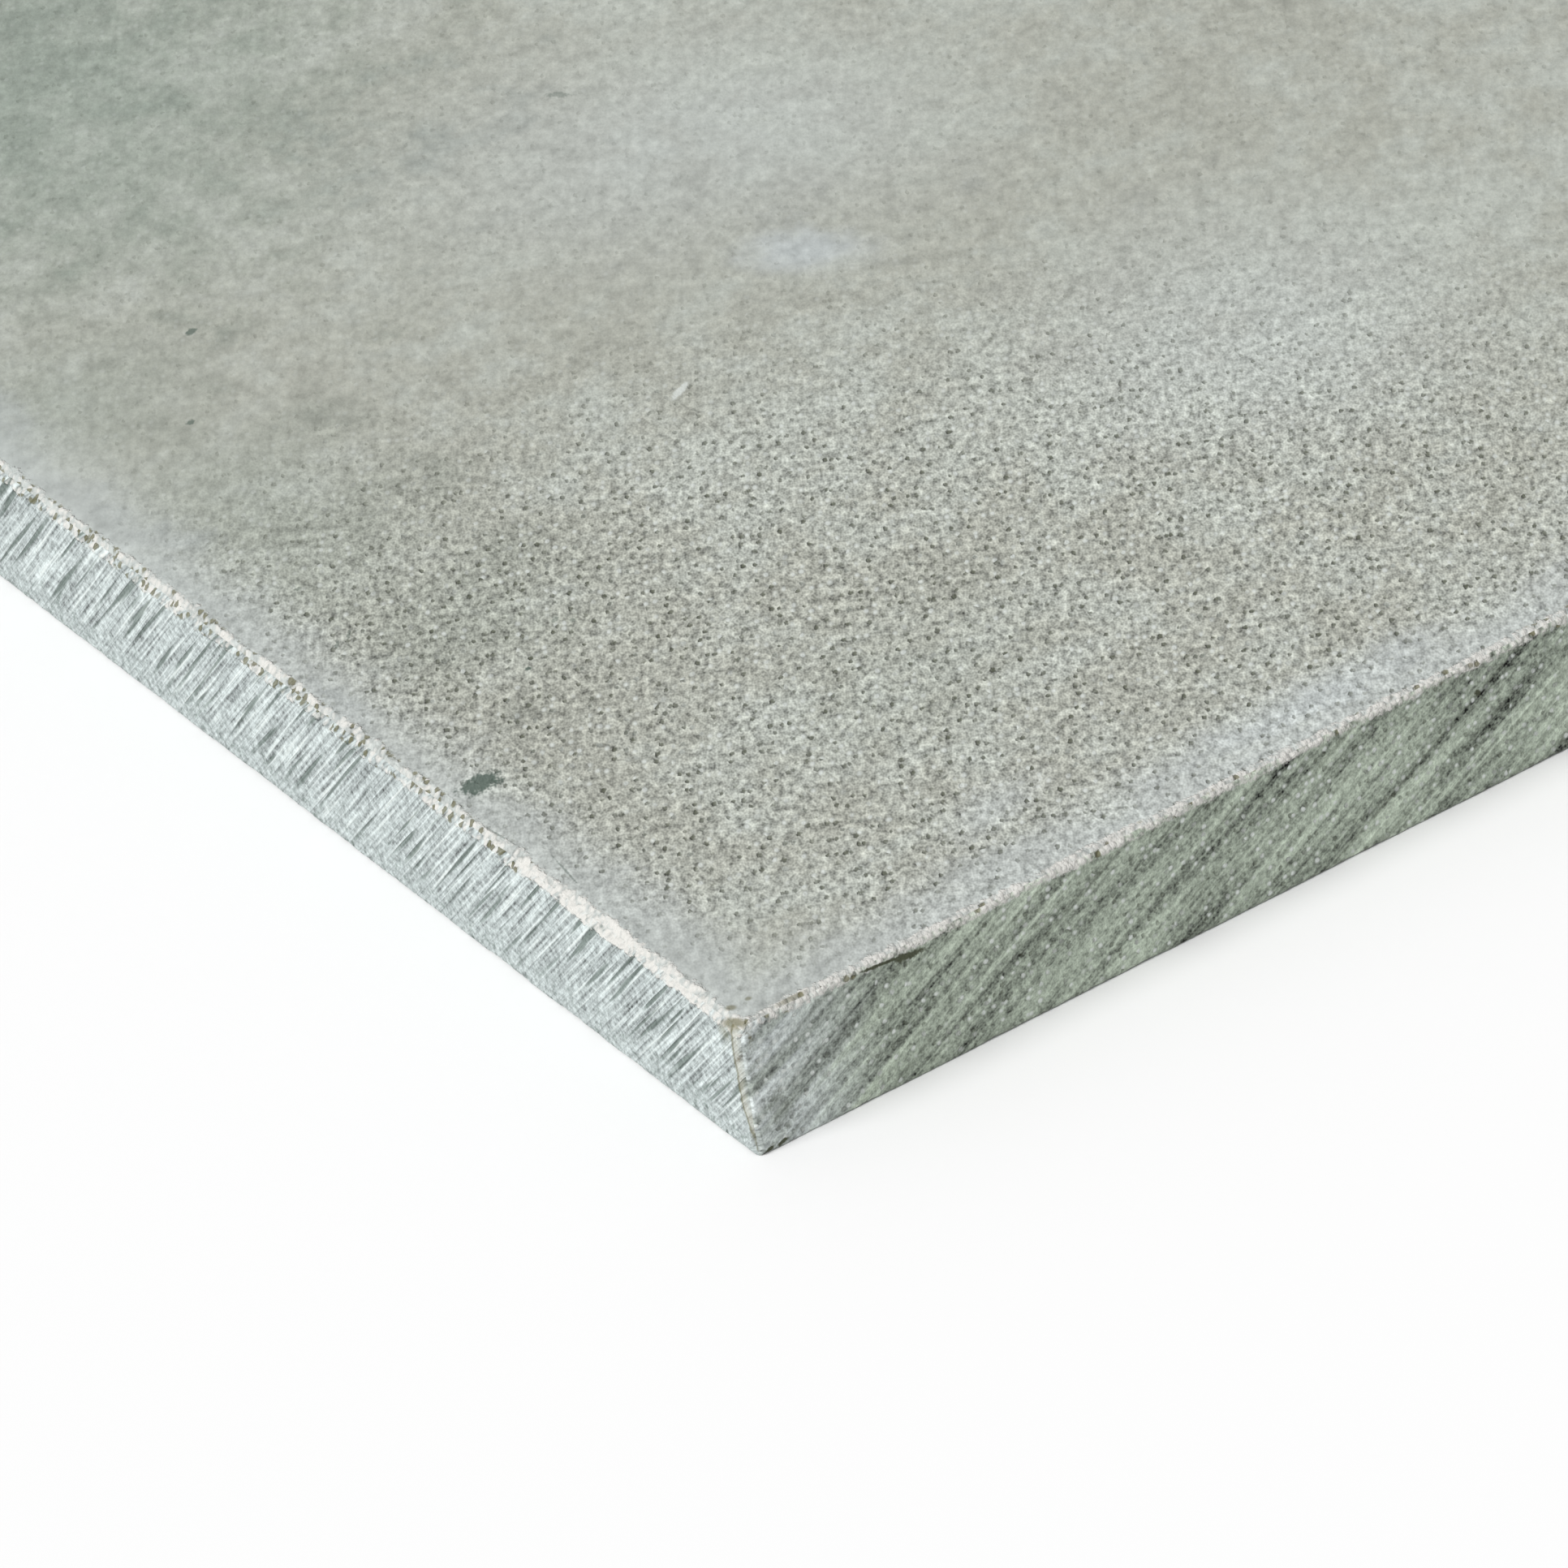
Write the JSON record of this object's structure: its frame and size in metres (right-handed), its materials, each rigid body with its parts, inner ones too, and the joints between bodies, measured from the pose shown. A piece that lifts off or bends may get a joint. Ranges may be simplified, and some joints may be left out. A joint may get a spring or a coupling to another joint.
{
  "type": "fibre cement panel",
  "caption": "Flat rectangular sheet of pressed fibre cement with square sawn edges, for cladding, lining or backing.",
  "frame": {"origin": "middle of the back face, on which the sheet lies", "axes": "+X along the long sides, +Y along the short ends, +Z out of the smooth face"},
  "size_m": [1.2, 0.8, 0.012],
  "materials": {
    "fibre_cement": "matte, fine sandy grain, light grey"
  },
  "bodies": {
    "root": {"fibre_cement_sheet": "fibre_cement"}
  },
  "joints": []
}
